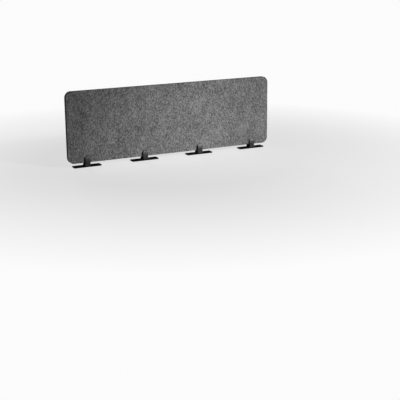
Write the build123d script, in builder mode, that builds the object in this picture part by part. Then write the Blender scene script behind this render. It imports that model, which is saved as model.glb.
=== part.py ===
"""Desk divider screen: a felt panel that stands in four clamping clips on flat plates.

The origin is on the desktop, below the middle of the panel. X runs along the panel,
the front of the screen faces -Y, and Z is up. All sizes are in millimetres.
"""
import os
from math import asin, degrees

from build123d import *

os.makedirs("parts", exist_ok=True)

# Felt panel, laminated from three sheets
panel_length = 1600.0
panel_height = 505.0
sheet_thickness = 9.0
sheet_count = 3
sheet_names = ("front_felt", "core_felt", "rear_felt")
panel_corner_radius = 45.0
sheet_edge_radius = 0.6

# Row of clips along the panel
clip_count = 4
clip_end_distance = 140.0

# Non-slip pad and steel plate under each clip
pad_thickness = 2.0
pad_inset = 1.5
plate_length = 203.0
plate_thickness = 7.0
plate_margin = 0.5
plate_corner_radius = 4.0
plate_edge_chamfer = 0.5
desk_hole_radius = 2.25
desk_hole_sink_radius = 4.4
desk_hole_end_distance = 16.5
pad_hole_margin = 1.5
sink_angle = 90.0

# Saddle that carries the panel between the jaws
saddle_height = 21.5
saddle_side_step = 0.4
saddle_edge_chamfer = 0.8

# Jaws that stand on the plate before and behind the panel
slot_clearance = 0.25
jaw_width = 40.0
jaw_reach = 44.0
jaw_foot_depth = 12.0
jaw_tip_depth = 5.4
jaw_tip_radius = 14.0
jaw_edge_radius = 3.8

# Soft grips let into the jaws
grip_side_margin = 6.0
grip_foot_margin = 5.0
grip_tip_margin = 10.0
grip_corner_radius = 3.0
grip_thickness = 1.5
grip_proud = 0.15
grip_fit = 0.1
grip_groove_count = 5
grip_groove_width = 1.2
grip_groove_depth = 0.6

# Machine screws and their threaded inserts
screw_radius = 2.0
screw_head_radius = 3.6
screw_hole_clearance = 0.2
screw_tip_chamfer = 0.4
socket_radius = 1.45
socket_depth = 1.3
socket_sides = 6
insert_wall = 0.75
insert_fit = 0.05
thread_fit = 0.05
plate_screw_head_recess = 0.1
plate_screw_side_distance = 5.75
plate_insert_length = 8.0
clamp_screw_edge_distance = 8.0
clamp_screw_head_height = 2.8
clamp_screw_head_fit = 0.15
clamp_screw_web = 8.0
clamp_insert_length = 8.0
cut_overrun = 1.0
standing = (Align.CENTER, Align.CENTER, Align.MIN)

# Places that follow from the sizes
panel_thickness = sheet_count * sheet_thickness
slot_half = panel_thickness / 2 + slot_clearance
plate_base = pad_thickness
plate_top = plate_base + plate_thickness
panel_base = plate_top + saddle_height
jaw_tip = panel_base + jaw_reach
jaw_height = jaw_tip - plate_top
jaw_bend_drop = jaw_foot_depth - jaw_tip_depth
jaw_bend_radius = (jaw_reach**2 + jaw_bend_drop**2) / (2 * jaw_bend_drop)
jaw_bend_angle = degrees(asin((jaw_reach + cut_overrun) / jaw_bend_radius))
plate_depth = 2 * (slot_half + jaw_foot_depth + plate_margin)
desk_hole_spacing = plate_length - 2 * desk_hole_end_distance
clip_pitch = (panel_length - 2 * clip_end_distance) / (clip_count - 1)
clip_places = [(number - (clip_count - 1) / 2) * clip_pitch for number in range(clip_count)]

insert_radius = screw_radius + thread_fit + insert_wall
insert_hole_radius = insert_radius + insert_fit
screw_hole_radius = screw_radius + screw_hole_clearance
plate_screw_sink_radius = screw_head_radius + screw_hole_clearance
plate_screw_spacing = 2 * (slot_half - plate_screw_side_distance)
plate_screw_offsets = (-plate_screw_spacing / 2, plate_screw_spacing / 2)
clamp_screw_spacing = jaw_width - 2 * clamp_screw_edge_distance
clamp_screw_offsets = (-clamp_screw_spacing / 2, clamp_screw_spacing / 2)
clamp_screw_level = plate_top + saddle_height / 2
clamp_head_seat = slot_half + clamp_screw_web

grip_width = jaw_width - 2 * grip_side_margin
grip_height = jaw_reach - grip_foot_margin - grip_tip_margin
grip_level = panel_base + grip_foot_margin + grip_height / 2


def level_plane(height):
    """A horizontal plane at a height above the desktop."""
    return Plane(origin=(0, 0, height))


def front_plane(depth, height=0):
    """An upright plane that faces the front, at a Y depth and with its centre at a height."""
    return Plane(origin=(0, depth, height), x_dir=(1, 0, 0), z_dir=(0, -1, 0))


def export_at_clips(piece, name):
    """Write one copy of a clip's piece for each clip, numbered from the left."""
    for number, place in enumerate(clip_places, start=1):
        with BuildPart() as placed:
            with Locations((place, 0, 0)):
                add(piece)
        placed.part.label = f"{name}_{number}"
        export_step(placed.part, f"parts/{name}_{number}.step")


def export_group(piece, name, seats):
    """Write one node that holds a copy of a fastener on each of a clip's seats, at every clip."""
    with BuildPart() as group:
        for place in clip_places:
            with Locations(*[Pos(place, 0, 0) * seat for seat in seats]):
                add(piece)
    group.part.label = name
    export_step(group.part, f"parts/{name}.step")


# Felt sheets, each with softly rounded edges
for number, name in enumerate(sheet_names):
    sheet_front = number * sheet_thickness - panel_thickness / 2
    with BuildPart() as sheet:
        with BuildSketch(front_plane(sheet_front + sheet_thickness, panel_base + panel_height / 2)):
            RectangleRounded(panel_length, panel_height, panel_corner_radius)
        extrude(amount=sheet_thickness)
        rims = sheet.edges().group_by(Axis.Y)
        fillet(rims[0] + rims[-1], sheet_edge_radius)
    sheet.part.label = name
    export_step(sheet.part, f"parts/{name}.step")


# Non-slip pad, cut away around the desk screws
with BuildPart() as base_pad:
    with BuildSketch(level_plane(0)):
        RectangleRounded(
            plate_length - 2 * pad_inset,
            plate_depth - 2 * pad_inset,
            plate_corner_radius - pad_inset,
        )
        with GridLocations(desk_hole_spacing, 0, 2, 1):
            Circle(desk_hole_sink_radius + pad_hole_margin, mode=Mode.SUBTRACT)
    extrude(amount=pad_thickness)
export_at_clips(base_pad.part, "base_pad")


# Steel plate, with countersunk holes for desk screws from above and saddle screws from below
with BuildPart() as base_plate:
    with BuildSketch(level_plane(plate_base)):
        RectangleRounded(plate_length, plate_depth, plate_corner_radius)
    extrude(amount=plate_thickness)
    chamfer(base_plate.faces().sort_by(Axis.Z)[-1].edges(), plate_edge_chamfer)
    with Locations((-desk_hole_spacing / 2, 0, plate_top), (desk_hole_spacing / 2, 0, plate_top)):
        CounterSinkHole(
            desk_hole_radius,
            desk_hole_sink_radius,
            depth=plate_thickness + cut_overrun,
            counter_sink_angle=sink_angle,
        )
    underside = Plane(origin=(0, 0, plate_base), x_dir=(1, 0, 0), z_dir=(0, 0, -1))
    with Locations(underside):
        with GridLocations(0, plate_screw_spacing, 1, 2):
            CounterSinkHole(
                screw_hole_radius,
                plate_screw_sink_radius,
                depth=plate_thickness + cut_overrun,
                counter_sink_angle=sink_angle,
            )
export_at_clips(base_plate.part, "base_plate")


# Saddle, with pockets for the inserts below and clearance holes for the clamp screws
with BuildPart() as saddle:
    with BuildSketch(level_plane(plate_top)):
        Rectangle(jaw_width - 2 * saddle_side_step, 2 * slot_half)
    extrude(amount=saddle_height)
    chamfer(saddle.edges().group_by(Axis.Z)[-1].filter_by(Axis.Y), saddle_edge_chamfer)
    with BuildSketch(level_plane(plate_top)):
        with GridLocations(0, plate_screw_spacing, 1, 2):
            Circle(insert_hole_radius)
    extrude(amount=plate_insert_length + insert_fit, mode=Mode.SUBTRACT)
    with BuildSketch(front_plane(slot_half, clamp_screw_level)):
        with GridLocations(clamp_screw_spacing, 0, 2, 1):
            Circle(screw_hole_radius)
    extrude(amount=2 * slot_half, mode=Mode.SUBTRACT)
export_at_clips(saddle.part, "saddle")


# Blank of a jaw: a tongue that stands upright beside the saddle and bends back to a thin
# rounded tip, with a pocket for its grip. Its side profile is larger than its front outline,
# which cuts it to size.
with BuildPart() as jaw_blank:
    jaw_front = -slot_half - jaw_foot_depth
    profile_back = -slot_half + cut_overrun
    profile_foot = plate_top - cut_overrun
    profile_top = jaw_tip + cut_overrun
    with BuildSketch(Plane.YZ):
        with BuildLine():
            Line((jaw_front, profile_foot), (jaw_front, panel_base))
            bend_centre = (jaw_front + jaw_bend_radius, panel_base)
            bend = CenterArc(bend_centre, jaw_bend_radius, 180, -jaw_bend_angle)
            Polyline(
                bend @ 1,
                (profile_back, profile_top),
                (profile_back, profile_foot),
                (jaw_front, profile_foot),
            )
        make_face()
    extrude(amount=jaw_width / 2 + cut_overrun, both=True)
    with BuildSketch(front_plane(-slot_half, plate_top + jaw_height / 2)) as jaw_outline:
        Rectangle(jaw_width, jaw_height)
        tip_radius = min(jaw_tip_radius, jaw_width / 2 - jaw_edge_radius)
        fillet(jaw_outline.vertices().group_by(Axis.Y)[-1], tip_radius)
    extrude(amount=jaw_foot_depth + cut_overrun, mode=Mode.INTERSECT)
    upright_face, bent_face = jaw_blank.faces().sort_by(Axis.Y)[:2].sort_by(Axis.Z)
    outer_rim = upright_face.edges().sort_by(Axis.Z)[1:-1] + bent_face.edges().sort_by(Axis.Z)[1:]
    fillet(outer_rim, jaw_edge_radius)
    with BuildSketch(front_plane(-slot_half, grip_level)):
        RectangleRounded(grip_width, grip_height, grip_corner_radius)
    extrude(amount=grip_thickness, mode=Mode.SUBTRACT)


# Front jaw, with blind pockets for the inserts that the clamp screws draw on
with BuildPart() as front_jaw:
    add(jaw_blank.part)
    with BuildSketch(front_plane(-slot_half, clamp_screw_level)):
        with GridLocations(clamp_screw_spacing, 0, 2, 1):
            Circle(insert_hole_radius)
    extrude(amount=clamp_insert_length + insert_fit, mode=Mode.SUBTRACT)
export_at_clips(front_jaw.part, "front_jaw")


# Rear jaw, with counterbored holes for the clamp screws' heads
with BuildPart() as rear_jaw:
    add(mirror(jaw_blank.part, about=Plane.XZ, mode=Mode.PRIVATE))
    with BuildSketch(front_plane(slot_half + jaw_foot_depth, clamp_screw_level)):
        with GridLocations(clamp_screw_spacing, 0, 2, 1):
            Circle(screw_head_radius + clamp_screw_head_fit)
    extrude(amount=jaw_foot_depth - clamp_screw_web, mode=Mode.SUBTRACT)
    with BuildSketch(front_plane(clamp_head_seat, clamp_screw_level)):
        with GridLocations(clamp_screw_spacing, 0, 2, 1):
            Circle(screw_hole_radius)
    extrude(amount=clamp_screw_web, mode=Mode.SUBTRACT)
export_at_clips(rear_jaw.part, "rear_jaw")


# Soft grip, with grooves across the face that holds the felt
with BuildPart() as front_grip:
    with BuildSketch(front_plane(-slot_half + grip_proud, grip_level)):
        RectangleRounded(
            grip_width - 2 * grip_fit,
            grip_height - 2 * grip_fit,
            grip_corner_radius - grip_fit,
        )
    extrude(amount=grip_thickness + grip_proud)
    with BuildSketch(front_plane(-slot_half + grip_proud, grip_level)):
        with GridLocations(0, grip_height / (grip_groove_count + 1), 1, grip_groove_count):
            Rectangle(grip_width, grip_groove_width)
    extrude(amount=grip_groove_depth, mode=Mode.SUBTRACT)
with BuildPart() as rear_grip:
    add(mirror(front_grip.part, about=Plane.XZ, mode=Mode.PRIVATE))
export_at_clips(front_grip.part, "front_grip")
export_at_clips(rear_grip.part, "rear_grip")


# Countersunk screw that holds the saddle on the plate
sink_head_height = screw_head_radius - screw_radius
plate_screw_length = plate_thickness - plate_screw_head_recess + plate_insert_length
with BuildPart() as plate_screw:
    Cone(screw_head_radius, screw_radius, sink_head_height, align=standing)
    Cylinder(screw_radius, plate_screw_length, align=standing)
    chamfer(plate_screw.faces().sort_by(Axis.Z)[-1].edges(), screw_tip_chamfer)
    with BuildSketch():
        RegularPolygon(socket_radius, socket_sides)
    extrude(amount=socket_depth, mode=Mode.SUBTRACT)
plate_screw_seats = [
    level_plane(plate_base + plate_screw_head_recess) * Pos(0, depth, 0) for depth in plate_screw_offsets
]
export_group(plate_screw.part, "plate_screws", plate_screw_seats)


# Clamp screw that draws both jaws onto the saddle and the panel
clamp_screw_length = clamp_screw_head_height + clamp_screw_web + 2 * slot_half + clamp_insert_length
with BuildPart() as clamp_screw:
    Cylinder(screw_head_radius, clamp_screw_head_height, align=standing)
    chamfer(clamp_screw.faces().sort_by(Axis.Z)[0].edges(), screw_tip_chamfer)
    Cylinder(screw_radius, clamp_screw_length, align=standing)
    chamfer(clamp_screw.faces().sort_by(Axis.Z)[-1].edges(), screw_tip_chamfer)
    with BuildSketch():
        RegularPolygon(socket_radius, socket_sides)
    extrude(amount=socket_depth, mode=Mode.SUBTRACT)
clamp_screw_seats = [
    front_plane(clamp_head_seat + clamp_screw_head_height, clamp_screw_level) * Pos(offset, 0, 0)
    for offset in clamp_screw_offsets
]
export_group(clamp_screw.part, "clamp_screws", clamp_screw_seats)


# Inserts in the saddles and in the front jaws
with BuildPart() as saddle_insert:
    Cylinder(insert_radius, plate_insert_length, align=standing)
    Hole(screw_radius + thread_fit)
saddle_insert_seats = [level_plane(plate_top) * Pos(0, depth, 0) for depth in plate_screw_offsets]
export_group(saddle_insert.part, "saddle_inserts", saddle_insert_seats)

with BuildPart() as jaw_insert:
    Cylinder(insert_radius, clamp_insert_length, align=standing)
    Hole(screw_radius + thread_fit)
jaw_insert_seats = [
    front_plane(-slot_half, clamp_screw_level) * Pos(offset, 0, 0) for offset in clamp_screw_offsets
]
export_group(jaw_insert.part, "jaw_inserts", jaw_insert_seats)
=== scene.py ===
import math

import bpy
from mathutils import Matrix, Vector, noise


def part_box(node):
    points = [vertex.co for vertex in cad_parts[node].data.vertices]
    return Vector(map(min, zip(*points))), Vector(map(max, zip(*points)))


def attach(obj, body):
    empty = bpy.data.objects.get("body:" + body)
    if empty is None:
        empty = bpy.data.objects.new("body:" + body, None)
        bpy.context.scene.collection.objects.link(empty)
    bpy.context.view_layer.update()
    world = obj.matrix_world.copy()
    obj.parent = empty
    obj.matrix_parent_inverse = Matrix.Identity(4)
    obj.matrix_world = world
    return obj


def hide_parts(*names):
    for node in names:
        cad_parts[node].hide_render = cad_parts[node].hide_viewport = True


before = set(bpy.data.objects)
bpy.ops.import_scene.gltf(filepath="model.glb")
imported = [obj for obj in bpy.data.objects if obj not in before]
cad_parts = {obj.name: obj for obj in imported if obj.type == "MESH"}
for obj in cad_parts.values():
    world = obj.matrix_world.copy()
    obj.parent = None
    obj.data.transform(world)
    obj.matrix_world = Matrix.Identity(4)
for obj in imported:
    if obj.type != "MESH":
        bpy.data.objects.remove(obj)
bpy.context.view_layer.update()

# Lengths are in metres and angles in degrees. Shades and light levels are linear, and 1 is white.

# Camera, fitted to the photograph, which is square. Its lens and sensor are in millimetres.
CAMERA_PLACE = (-2.9286, -6.1916, 1.4727)
CAMERA_YAW = 27.004
CAMERA_PITCH = 14.752
CAMERA_ROLL = -0.551
CAMERA_LENS = 86.12
CAMERA_SENSOR = 36.0
CAMERA_REACH = 360.0

# Shape of the felt sheets
PANEL_CORNER_RADIUS = 0.045
FELT_EDGE_RADIUS = 0.0009
FELT_GRID_STEP = 0.004
FELT_CORNER_STEPS = 18
FELT_ROUND_STEPS = 3
FELT_SIDE_STEPS = 4

# Dips in the felt's faces: the deepest, and the width, share and noise layer of each kind
FELT_RELIEF = 0.00022
FELT_SWELLS = ((0.045, 0.35, 3.1), (0.013, 0.45, 7.7), (0.0055, 0.35, 1.3))

# Dips in the felt's cut edges: the deepest, and the length, depth and share of the lumps
FELT_EDGE_RELIEF = 0.00035
EDGE_LUMP_LENGTH = 0.006
EDGE_LUMP_DEPTH = 0.0035
EDGE_LUMP_SHARE = 0.9

# Shade and shine of the felt. Its tone swings less on the cut edges, by their contrast.
FELT_FACE_SHADE = 0.165
# The cut edges are the same felt as the faces: their darker shade is painted shade, for the less light that
# falls on them.
FELT_EDGE_PAINTED_SHADE = 0.088
FELT_EDGE_CONTRAST = 0.8
FELT_BLUE_SHARE = 1.012
FELT_LEAST_TONE = 0.2
FELT_ROUGHNESS = 0.95
FELT_SPECULAR = 0.03
FELT_SHEEN = 0.05
FELT_SHEEN_ROUGHNESS = 0.6

# The felt's tone. Its grain is taller than it is wide and bent by slow noise. It is made of flecks,
# of patches, each given by its size and share, and of bundles of fibres.
FELT_GRAIN_STRETCH = (1.24, 1.0, 0.76)
FELT_BEND_SIZE = 0.011
FELT_BEND = 0.004
FLECK_SIZE = 0.0052
FLECK_SHARE = 0.60
PATCH_SHARES = ((0.011, 0.66), (0.034, 0.17), (0.11, 0.18), (0.28, 0.11))
BUNDLE_THICKNESS = 0.0022
BUNDLE_LENGTH = 0.016
BUNDLE_SHARE = 0.62
BUNDLE_TURNS = (22.0, -48.0, 81.0)

# Single fibres: their size, the noise over which they fade in, their shade as a share of the
# felt's, and how much of the felt they cover where they are strongest
FIBRE_TURNS = (12.0, 68.0, -37.0, -81.0)
LIGHT_FIBRE = {"thickness": 0.00045, "length": 0.0075, "low": 0.60, "high": 0.74}
LIGHT_FIBRE_SHADE = 2.3
LIGHT_FIBRE_COVER = 0.64
DARK_FIBRE = {"thickness": 0.00055, "length": 0.0068, "low": 0.60, "high": 0.72}
DARK_FIBRE_SHADE = 0.33
DARK_FIBRE_COVER = 0.52
DARK_FIBRE_TURN = 21.0

# Dark lines that run along the cut edges, where the felt's layers show
LAYER_STRETCH = (0.05, 1.0, 0.05)
LAYER_THICKNESS = 0.0007
LAYER_SHADE = 0.4
LAYER_COVER = 0.35

# The felt's nap: light fibres and flecks stand up, and dark fibres lie low
NAP_DEPTH = 0.0005
NAP_STRENGTH = 0.55
NAP_FLECK_SHARE = 0.5
NAP_FIBRE_SHARE = 0.25
NAP_DARK_SHARE = 0.7

# Coatings and mouldings: cloudy tone and gloss, a fine speckle, and wear on convex edges
CLOUD_SIZE = 0.03
CLOUD_DETAIL = 4.0
CLOUD_TONES = (0.88, 1.12)
CLOUD_GLOSS = 0.05
SPECKLE_NOISE = (0.35, 0.7)
SPECKLE_TONES = (0.85, 1.25)
WEAR_POINTINESS = (0.52, 0.62)
WEAR_NOISE = (0.4, 0.6)
WEAR_SHARES = (0.3, 1.0)
GRAIN_STRENGTH = 0.5

# Metal: slow tones, and fine marks that change the gloss
METAL_TONE_SIZE = 0.006
METAL_DARK_SHARE = 0.72
METAL_SMOOTHER = 0.08
METAL_ROUGHER = 0.1
METAL_MARK_DEPTH = 0.00005
METAL_MARK_STRENGTH = 0.3

# Noise from 0 to 1 lies mostly round its middle. The wide range takes in more of it than the narrow one.
MIDDLE = 0.5
WIDE_NOISE = (0.3, 0.7)
NARROW_NOISE = (0.35, 0.65)
NOISE_ROUGHNESS = 0.5
COARSE_NOISE_ROUGHNESS = 0.6
COARSEST_NOISE_ROUGHNESS = 0.7

# Floor and world
FLOOR_HALF_SIZE = 90.0
FLOOR_SHADE = 0.72
FLOOR_ROUGHNESS = 0.9
FLOOR_SPECULAR = 0.1
FLOOR_WHITE_SHARE = 0.68
FLOOR_FADE_START = 0.9
FLOOR_FADE_END = 2.6
STAGE_WHITE = 0.97
FILL_LEVEL = 0.06
MIRROR_LEVEL = 0.35

# Lamps, large and far off, with a spread that lights little but the screen. Azimuth 0 is in
# front of it and 90 to its right, and the power is in watts.
LAMP_DISTANCE = 10.0
LAMP_SIZE = 1.4
KEY_LAMP = {"azimuth": 34.0, "elevation": 21.0, "spread": 12.4, "power": 8.3892, "target": (0.22, 0.0, 0.20)}
REAR_LAMP = {"azimuth": 170.0, "elevation": 5.0, "spread": 13.0, "power": 5.7244, "target": (0.0, 0.0, 0.34)}


# Node helpers

def new_material(name):
    """An empty node material with an output and a Principled shader joined to it."""
    material = bpy.data.materials.new(name)
    material.use_nodes = True
    tree = material.node_tree
    tree.nodes.clear()
    output = tree.nodes.new("ShaderNodeOutputMaterial")
    shader = tree.nodes.new("ShaderNodeBsdfPrincipled")
    tree.links.new(shader.outputs["BSDF"], output.inputs["Surface"])
    return material, tree, shader


def feed(tree, made, inputs):
    """Give a node its inputs by name or number: each is a plain value or another node's socket."""
    for key, value in inputs.items():
        if isinstance(value, bpy.types.NodeSocket):
            tree.links.new(value, made.inputs[key])
        else:
            made.inputs[key].default_value = value


def node(tree, kind, inputs, **settings):
    """A shader node with its inputs and settings."""
    made = tree.nodes.new("ShaderNode" + kind)
    for key, value in settings.items():
        setattr(made, key, value)
    feed(tree, made, inputs)
    return made


def maths(tree, operation, first, second):
    """The sum, product or other result of two values."""
    return node(tree, "Math", {0: first, 1: second}, operation=operation).outputs[0]


def with_share(tree, total, value, share):
    """A total and a share of another value, added."""
    return maths(tree, "ADD", total, maths(tree, "MULTIPLY", value, share))


def highest(tree, values):
    """The highest of several values."""
    top = values[0]
    for value in values[1:]:
        top = maths(tree, "MAXIMUM", top, value)
    return top


def ranged(tree, value, low, high, to_low=0.0, to_high=1.0):
    """A value carried from one range to another and held inside it."""
    inputs = {"Value": value, "From Min": low, "From Max": high, "To Min": to_low, "To Max": to_high}
    return node(tree, "MapRange", inputs).outputs["Result"]


def mapped(tree, vector, **changes):
    """A place with its Scale or Rotation changed."""
    return node(tree, "Mapping", {"Vector": vector, **changes}).outputs[0]


def noise_of(tree, vector, size, detail=2.0, roughness=NOISE_ROUGHNESS):
    """Noise from 0 to 1 whose patches are about as wide as a size in metres."""
    inputs = {"Vector": vector, "Scale": 1.0 / size, "Detail": detail, "Roughness": roughness}
    return node(tree, "TexNoise", inputs).outputs["Fac"]


def place_of(tree):
    """The place of a point in its own object."""
    return node(tree, "TexCoord", {}).outputs["Object"]


def bumped(tree, height, strength, depth):
    """The surface's direction, bent by a height."""
    inputs = {"Height": height, "Strength": strength, "Distance": depth}
    return node(tree, "Bump", inputs).outputs[0]


def grey(shade):
    """A grey as a colour."""
    return (shade, shade, shade, 1.0)


def grey_of(tree, value, blue_share=1.0):
    """A grey as strong as a value, with more or less blue."""
    blue = maths(tree, "MULTIPLY", value, blue_share)
    return node(tree, "CombineColor", {0: value, 1: value, 2: blue}).outputs[0]


def mixed(tree, factor, first, second):
    """A colour mixed from two others."""
    return node(tree, "Mix", {0: factor, 6: first, 7: second}, data_type="RGBA").outputs[2]


def covered(tree, colour, mask, cover, shade):
    """A colour with a grey laid over a share of it, where a mask is 1."""
    return mixed(tree, maths(tree, "MULTIPLY", mask, cover), colour, grey(shade))


# Felt material

def bent_place(tree, vector, size, amount):
    """The place of a point, pushed about by slow noise, so that straight patterns bend."""
    inputs = {"Vector": vector, "Scale": 1.0 / size, "Detail": 1.0}
    push = node(tree, "TexNoise", inputs).outputs["Color"]
    centre = (MIDDLE, MIDDLE, MIDDLE)
    centred = node(tree, "VectorMath", {0: push, 1: centre}, operation="SUBTRACT").outputs[0]
    scaled = node(tree, "VectorMath", {0: centred, "Scale": amount}, operation="SCALE").outputs[0]
    return node(tree, "VectorMath", {0: vector, 1: scaled}, operation="ADD").outputs[0]


def fibre_layer(tree, vector, turn, thickness, length, low, high):
    """Streaks like single fibres that lie in the sheet, all near one direction."""
    turned = mapped(tree, vector, Rotation=(0.0, math.radians(turn), 0.0))
    stretched = mapped(tree, turned, Scale=(thickness / length, 1.0, 1.0))
    return ranged(tree, noise_of(tree, stretched, thickness, detail=1.0), low, high)


def felt_tone(tree, place, flecks, contrast):
    """The felt's uneven tone, which is about 1 on average."""
    total = maths(tree, "MULTIPLY", flecks, FLECK_SHARE * contrast)
    for size, share in PATCH_SHARES:
        patches = ranged(tree, noise_of(tree, place, size, detail=1.0), *WIDE_NOISE, -1.0, 1.0)
        total = with_share(tree, total, patches, share * contrast)
    for turn in BUNDLE_TURNS:
        bundles = fibre_layer(tree, place, turn, BUNDLE_THICKNESS, BUNDLE_LENGTH, *WIDE_NOISE)
        centred = maths(tree, "SUBTRACT", bundles, MIDDLE)
        total = with_share(tree, total, centred, BUNDLE_SHARE * contrast)
    return maths(tree, "MAXIMUM", maths(tree, "ADD", total, 1.0), FELT_LEAST_TONE)


def felt_material(name, shade, contrast, cut):
    """Heather pressed felt: dark, mid and light fibres in clumps, with a soft nap."""
    material, tree, shader = new_material(name)
    straight = mapped(tree, place_of(tree), Scale=FELT_GRAIN_STRETCH)
    place = bent_place(tree, straight, FELT_BEND_SIZE, FELT_BEND)
    fleck_noise = noise_of(tree, place, FLECK_SIZE, roughness=COARSE_NOISE_ROUGHNESS)
    flecks = ranged(tree, fleck_noise, *WIDE_NOISE, -1.0, 1.0)
    light = highest(tree, [fibre_layer(tree, place, turn, **LIGHT_FIBRE) for turn in FIBRE_TURNS])
    dark_turns = [turn + DARK_FIBRE_TURN for turn in FIBRE_TURNS]
    dark = highest(tree, [fibre_layer(tree, place, turn, **DARK_FIBRE) for turn in dark_turns])

    base = maths(tree, "MULTIPLY", felt_tone(tree, place, flecks, contrast), shade)
    colour = grey_of(tree, base, FELT_BLUE_SHARE)
    colour = covered(tree, colour, dark, DARK_FIBRE_COVER, shade * DARK_FIBRE_SHADE)
    colour = covered(tree, colour, light, LIGHT_FIBRE_COVER, shade * LIGHT_FIBRE_SHADE)
    if cut:
        layers = noise_of(tree, mapped(tree, place, Scale=LAYER_STRETCH), LAYER_THICKNESS, detail=1.0)
        lines = ranged(tree, layers, *NARROW_NOISE)
        colour = covered(tree, colour, lines, LAYER_COVER, shade * LAYER_SHADE)

    fibre_height = maths(tree, "SUBTRACT", light, maths(tree, "MULTIPLY", dark, NAP_DARK_SHARE))
    height = maths(tree, "MULTIPLY", fibre_height, NAP_FIBRE_SHARE)
    height = with_share(tree, height, flecks, NAP_FLECK_SHARE)
    feed(tree, shader, {
        "Base Color": colour,
        "Roughness": FELT_ROUGHNESS,
        "Specular IOR Level": FELT_SPECULAR,
        "Sheen Weight": FELT_SHEEN,
        "Sheen Roughness": FELT_SHEEN_ROUGHNESS,
        "Normal": bumped(tree, height, NAP_STRENGTH, NAP_DEPTH),
    })
    return material


# Felt sheets

def held(value):
    """A value held between 0 and 1."""
    return min(1.0, max(0.0, value))


def relief(x, z):
    """How far the felt's face dips under its highest fibres, from 0 to 1."""
    dip = MIDDLE
    for width, share, layer in FELT_SWELLS:
        dip += share * noise.noise(Vector((x / width, layer, z / width)))
    return held(dip)


def edge_relief(x, y, z):
    """How far the felt's cut edge dips under its furthest fibres, from 0 to 1."""
    place = Vector((x / EDGE_LUMP_LENGTH, y / EDGE_LUMP_DEPTH, z / EDGE_LUMP_LENGTH))
    return held(MIDDLE + EDGE_LUMP_SHARE * noise.noise(place))


def outline_columns(length, height, radius):
    """Columns from left to right over a rounded rectangle round the origin.

    Each has its place along X, its half height and the outward direction at its top.
    """
    columns = []
    for step in range(FELT_CORNER_STEPS + 1):
        turn = math.radians(90.0 * step / FELT_CORNER_STEPS)
        sideways, upward = math.cos(turn), math.sin(turn)
        x = -length / 2 + radius - radius * sideways
        half = height / 2 - radius + radius * upward
        columns.append((x, half, (-sideways, upward)))
    straight = length - 2 * radius
    count = round(straight / FELT_GRID_STEP)
    for step in range(1, count):
        columns.append((-straight / 2 + straight * step / count, height / 2, (0.0, 1.0)))
    for x, half, (sideways, upward) in reversed(columns[:FELT_CORNER_STEPS + 1]):
        columns.append((-x, half, (-sideways, upward)))
    return columns


def rim_places(last, rows):
    """The outer crossings of a grid in order, round from its lower left corner."""
    lower = [(column, 0) for column in range(last + 1)]
    right = [(last, row) for row in range(1, rows + 1)]
    upper = [(column, rows) for column in range(last - 1, -1, -1)]
    left = [(0, row) for row in range(rows - 1, 0, -1)]
    return lower + right + upper + left


def rim_profile(thickness):
    """Steps over a sheet's edge from its front face to its rear face: inset and depth."""
    radius = FELT_EDGE_RADIUS
    turns = [math.radians(90.0 * step / FELT_ROUND_STEPS) for step in range(FELT_ROUND_STEPS + 1)]
    rounded = [(radius * (1 - math.sin(turn)), radius * (1 - math.cos(turn))) for turn in turns]
    side = thickness - 2 * radius
    middle = [(0.0, radius + side * step / FELT_SIDE_STEPS) for step in range(1, FELT_SIDE_STEPS)]
    return rounded + middle + [(inset, thickness - depth) for inset, depth in reversed(rounded)]


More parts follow.
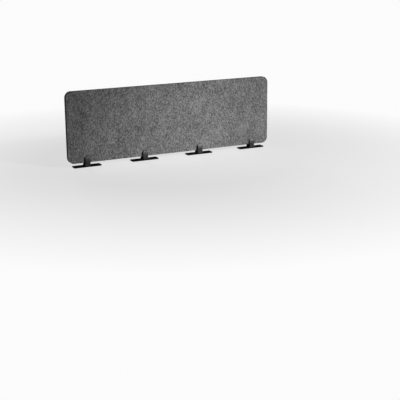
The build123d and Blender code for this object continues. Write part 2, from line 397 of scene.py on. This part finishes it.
class FeltSheet:
    """A sheet of felt over its CAD solid, as a grid with an uneven face and a softly cut edge."""

    def __init__(self, cad_node):
        self.cad_node = cad_node
        self.low, self.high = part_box(cad_node)
        length, self.thickness, height = self.high - self.low
        self.middle_x = (self.low.x + self.high.x) / 2
        self.middle_z = (self.low.z + self.high.z) / 2
        inset = FELT_EDGE_RADIUS
        self.columns = outline_columns(length - 2 * inset, height - 2 * inset, PANEL_CORNER_RADIUS - inset)
        self.last = len(self.columns) - 1
        self.rows = round(height / FELT_GRID_STEP)
        self.rim = rim_places(self.last, self.rows)
        self.points = []
        self.face_polygons = []
        self.edge_polygons = []

    def flat_place(self, column, row):
        """Where a column and a row cross on the sheet's face, inside its rounded edge."""
        x, half, _ = self.columns[column]
        return self.middle_x + x, self.middle_z + half * (2 * row / self.rows - 1)

    def outward(self, column, row):
        """The direction away from the sheet at a place on its rim."""
        sideways, upward = self.columns[column][2]
        if column in (0, self.last):
            return sideways, 0.0
        return sideways, upward if row else -upward

    def strip(self, column, shows):
        """The corners of the polygons from a column to the next: many where they show, else one."""
        after = column + 1
        if shows:
            return [[(column, row), (after, row), (after, row + 1), (column, row + 1)]
                    for row in range(self.rows)]
        right = [(after, row) for row in range(1, self.rows)] if after == self.last else []
        left = [(column, row) for row in range(self.rows - 1, 0, -1)] if column == 0 else []
        return [[(column, 0), (after, 0)] + right + [(after, self.rows), (column, self.rows)] + left]

    def add_face(self, depth, shows, side):
        """A broad face, with side 1 in front and -1 behind; returns the vertices along its rim."""
        rim = set(self.rim)
        numbers = {}
        for column in range(self.last + 1):
            for row in range(self.rows + 1):
                if shows or (column, row) in rim:
                    x, z = self.flat_place(column, row)
                    dip = FELT_RELIEF * relief(x, z) if shows else 0.0
                    numbers[column, row] = len(self.points)
                    self.points.append((x, depth + side * dip, z))
        for column in range(self.last):
            for corners in self.strip(column, shows):
                polygon = [numbers[corner] for corner in corners]
                self.face_polygons.append(polygon[::side])
        return [numbers[place] for place in self.rim]

    def add_ring(self, inward, depth):
        """A ring of vertices round the cut edge; returns their numbers."""
        y = self.low.y + depth
        first = len(self.points)
        for column, row in self.rim:
            x, z = self.flat_place(column, row)
            sideways, upward = self.outward(column, row)
            out = FELT_EDGE_RADIUS - inward - FELT_EDGE_RELIEF * edge_relief(x, y, z)
            self.points.append((x + sideways * out, y, z + upward * out))
        return list(range(first, len(self.points)))

    def join_rings(self, front, rear):
        """The polygons of the cut edge between two rings."""
        for place in range(len(self.rim)):
            after = (place + 1) % len(self.rim)
            self.edge_polygons.append([front[after], front[place], rear[place], rear[after]])

    def build(self, name, front_shows, rear_shows, face_material, edge_material):
        """The finished piece, which stands in for the CAD solid and rides with the panel."""
        rings = [self.add_face(self.low.y, front_shows, 1)]
        # the profile's first and last steps are the rims of the two broad faces
        rings += [self.add_ring(inward, depth) for inward, depth in rim_profile(self.thickness)[1:-1]]
        rings.append(self.add_face(self.high.y, rear_shows, -1))
        for front, rear in zip(rings, rings[1:]):
            self.join_rings(front, rear)

        mesh = bpy.data.meshes.new(name)
        polygons = self.face_polygons + self.edge_polygons
        mesh.from_pydata(self.points, [], polygons)
        mesh.materials.append(face_material)
        mesh.materials.append(edge_material)
        slots = [0] * len(self.face_polygons) + [1] * len(self.edge_polygons)
        mesh.polygons.foreach_set("material_index", slots)
        mesh.polygons.foreach_set("use_smooth", [len(polygon) == 4 for polygon in polygons])
        mesh.validate()
        piece = bpy.data.objects.new(name, mesh)
        bpy.context.scene.collection.objects.link(piece)
        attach(piece, "panel")
        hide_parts(self.cad_node)


# Hard materials

def grained_material(name, shade, wear, roughness, specular, grain_size, grain_depth):
    """A dark coating or moulding with a fine grain, cloudy gloss and lighter worn edges."""
    material, tree, shader = new_material(name)
    place = place_of(tree)
    cloud = noise_of(tree, place, CLOUD_SIZE, detail=CLOUD_DETAIL, roughness=COARSE_NOISE_ROUGHNESS)
    grain = noise_of(tree, place, grain_size, roughness=COARSE_NOISE_ROUGHNESS)
    speckle = ranged(tree, grain, *SPECKLE_NOISE, *SPECKLE_TONES)
    tone = maths(tree, "MULTIPLY", speckle, ranged(tree, cloud, *WIDE_NOISE, *CLOUD_TONES))
    edges = ranged(tree, node(tree, "NewGeometry", {}).outputs["Pointiness"], *WEAR_POINTINESS)
    worn = maths(tree, "MULTIPLY", edges, ranged(tree, cloud, *WEAR_NOISE, *WEAR_SHARES))
    base = with_share(tree, maths(tree, "MULTIPLY", tone, shade), worn, wear)
    feed(tree, shader, {
        "Base Color": grey_of(tree, base),
        "Roughness": ranged(tree, cloud, *WIDE_NOISE, roughness - CLOUD_GLOSS, roughness + CLOUD_GLOSS),
        "Specular IOR Level": specular,
        "Normal": bumped(tree, grain, GRAIN_STRENGTH, grain_depth),
    })
    return material


def metal_material(name, colour, roughness, mark_size):
    """Plated or turned metal with fine marks and a slight change of tone."""
    material, tree, shader = new_material(name)
    place = place_of(tree)
    tones = noise_of(tree, place, METAL_TONE_SIZE, detail=3.0, roughness=COARSE_NOISE_ROUGHNESS)
    marks = noise_of(tree, place, mark_size, roughness=COARSEST_NOISE_ROUGHNESS)
    darker = tuple(METAL_DARK_SHARE * part for part in colour)
    mix = mixed(tree, ranged(tree, tones, *NARROW_NOISE), (*darker, 1.0), (*colour, 1.0))
    smooth, rough = roughness - METAL_SMOOTHER, roughness + METAL_ROUGHER
    feed(tree, shader, {
        "Base Color": mix,
        "Roughness": ranged(tree, marks, *WIDE_NOISE, smooth, rough),
        "Metallic": 1.0,
        "Normal": bumped(tree, marks, METAL_MARK_STRENGTH, METAL_MARK_DEPTH),
    })
    return material


def powder_coat():
    """The dead matt black of the plates."""
    return grained_material(
        "powder_coat",
        shade=0.007,
        wear=0.012,
        roughness=0.65,
        specular=0.0,
        grain_size=0.0007,
        grain_depth=0.00014,
    )


def satin_nylon():
    """The smooth moulded black of the jaws, which have a soft shine."""
    return grained_material(
        "satin_nylon",
        shade=0.015,
        wear=0.010,
        roughness=0.41,
        specular=0.42,
        grain_size=0.0005,
        grain_depth=0.00002,
    )


def matt_nylon_painted_shade():
    """The saddles' moulded black, darker and duller than the jaws': the darker black is painted shade on
    their sides.
    """
    return grained_material(
        "matt_nylon_painted_shade",
        shade=0.005,
        wear=0.006,
        roughness=0.7,
        specular=0.03,
        grain_size=0.0005,
        grain_depth=0.00004,
    )


def soft_rubber():
    """The matt black of the pads and grips."""
    return grained_material(
        "soft_rubber",
        shade=0.008,
        wear=0.004,
        roughness=0.85,
        specular=0.05,
        grain_size=0.0004,
        grain_depth=0.00005,
    )


def zinc_plate():
    """The bluish bright plating of the screws."""
    return metal_material("zinc_plate", colour=(0.52, 0.53, 0.56), roughness=0.34, mark_size=0.0004)


def turned_brass():
    """The plain brass of the inserts."""
    return metal_material("turned_brass", colour=(0.72, 0.55, 0.28), roughness=0.3, mark_size=0.0003)


def dress(material, *starts):
    """Give a material to every CAD node whose name starts in one of these ways."""
    for name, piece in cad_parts.items():
        if name.startswith(starts):
            if not piece.material_slots:
                piece.data.materials.append(material)
            for slot in piece.material_slots:
                slot.material = material


# Stage, light and camera

def seen_or_mirrored(tree):
    """1 for rays of the camera, mirrors and glass, and 0 for rays that carry light."""
    path = node(tree, "LightPath", {})
    kinds = ("Is Camera Ray", "Is Glossy Ray", "Is Transmission Ray")
    return highest(tree, [path.outputs[kind] for kind in kinds])


def seen_by_camera(tree):
    """1 for rays of the camera, and 0 for all others."""
    return node(tree, "LightPath", {}).outputs["Is Camera Ray"]


def make_floor():
    """A pale floor that keeps the shadow near the screen and fades to the white of the backdrop.

    The camera sees it part white from the start, and mirrors see its real shade near the screen.
    """
    half = FLOOR_HALF_SIZE
    mesh = bpy.data.meshes.new("floor")
    corners = [(-half, -half, 0), (half, -half, 0), (half, half, 0), (-half, half, 0)]
    mesh.from_pydata(corners, [], [(0, 1, 2, 3)])
    floor = bpy.data.objects.new("floor", mesh)
    bpy.context.scene.collection.objects.link(floor)
    material, tree, shader = new_material("floor")
    feed(tree, shader, {
        "Base Color": grey(FLOOR_SHADE),
        "Roughness": FLOOR_ROUGHNESS,
        "Specular IOR Level": FLOOR_SPECULAR,
    })
    distance = node(tree, "VectorMath", {0: place_of(tree)}, operation="LENGTH").outputs["Value"]
    near_share = maths(tree, "MULTIPLY", seen_by_camera(tree), FLOOR_WHITE_SHARE)
    share = ranged(tree, distance, FLOOR_FADE_START, FLOOR_FADE_END, near_share, 1.0)
    white = node(tree, "Emission", {"Color": grey(STAGE_WHITE), "Strength": 1.0})
    factor = maths(tree, "MULTIPLY", share, seen_or_mirrored(tree))
    both = node(tree, "MixShader", {0: factor, 1: shader.outputs[0], 2: white.outputs[0]})
    output = next(found for found in tree.nodes if found.type == "OUTPUT_MATERIAL")
    feed(tree, output, {"Surface": both.outputs[0]})
    mesh.materials.append(material)


def make_world():
    """White for the camera, a mid grey in mirrors and glass, and a dim fill where it lights the screen."""
    world = bpy.data.worlds.new("studio")
    world.use_nodes = True
    tree = world.node_tree
    tree.nodes.clear()
    mirrored = ranged(tree, seen_or_mirrored(tree), 0.0, 1.0, FILL_LEVEL, MIRROR_LEVEL)
    level = ranged(tree, seen_by_camera(tree), 0.0, 1.0, mirrored, STAGE_WHITE)
    background = node(tree, "Background", {"Color": grey(1.0), "Strength": level})
    node(tree, "OutputWorld", {"Surface": background.outputs[0]})
    bpy.context.scene.world = world


def make_lamp(name, azimuth, elevation, spread, power, target):
    """A square soft lamp on a sphere round its target."""
    turn, lift = math.radians(azimuth), math.radians(elevation)
    way = Vector((math.sin(turn) * math.cos(lift), -math.cos(turn) * math.cos(lift), math.sin(lift)))
    data = bpy.data.lights.new(name, "AREA")
    data.shape = "SQUARE"
    data.size = LAMP_SIZE
    data.spread = math.radians(spread)
    data.energy = power
    lamp = bpy.data.objects.new(name, data)
    lamp.location = Vector(target) + way * LAMP_DISTANCE
    lamp.rotation_euler = way.to_track_quat("Z", "Y").to_euler()
    lamp.visible_camera = False
    bpy.context.scene.collection.objects.link(lamp)


def make_camera():
    """The camera at the photograph's viewpoint, from its yaw to the right, pitch down and roll."""
    yaw, pitch, roll = (math.radians(angle) for angle in (CAMERA_YAW, CAMERA_PITCH, CAMERA_ROLL))
    ahead = Vector((math.sin(yaw) * math.cos(pitch), math.cos(yaw) * math.cos(pitch), -math.sin(pitch)))
    level_right = Vector((math.cos(yaw), -math.sin(yaw), 0.0))
    level_up = level_right.cross(ahead)
    right = math.cos(roll) * level_right + math.sin(roll) * level_up
    up = -math.sin(roll) * level_right + math.cos(roll) * level_up
    data = bpy.data.cameras.new("camera")
    data.sensor_width = CAMERA_SENSOR
    data.lens = CAMERA_LENS
    data.clip_end = CAMERA_REACH
    camera = bpy.data.objects.new("camera", data)
    camera.matrix_world = Matrix((right, up, -ahead)).transposed().to_4x4()
    camera.location = CAMERA_PLACE
    bpy.context.scene.collection.objects.link(camera)
    bpy.context.scene.camera = camera


# The screen on its stage

felt_face = felt_material("felt_face", FELT_FACE_SHADE, contrast=1.0, cut=False)
# The cut edges' darker felt is painted shade, where less light falls on them.
felt_edge_painted_shade = felt_material("felt_edge_painted_shade", FELT_EDGE_PAINTED_SHADE, contrast=FELT_EDGE_CONTRAST, cut=True)
for name, cad_node, front_shows, rear_shows in (
    ("felt_front_sheet", "front_felt", True, False),
    ("felt_middle_sheet", "core_felt", False, False),
    ("felt_rear_sheet", "rear_felt", False, True),
):
    FeltSheet(cad_node).build(name, front_shows, rear_shows, felt_face, felt_edge_painted_shade)

dress(powder_coat(), "base_plate")
dress(satin_nylon(), "front_jaw", "rear_jaw")
# The saddles are the jaws' nylon, made darker: painted shade where they stand in shade.
dress(matt_nylon_painted_shade(), "saddle_")
dress(soft_rubber(), "base_pad", "front_grip", "rear_grip")
dress(zinc_plate(), "plate_screws", "clamp_screws")
dress(turned_brass(), "saddle_inserts", "jaw_inserts")

make_floor()
make_world()
make_lamp("key", **KEY_LAMP)
make_lamp("rear", **REAR_LAMP)
make_camera()
bpy.context.scene.view_settings.view_transform = "Standard"
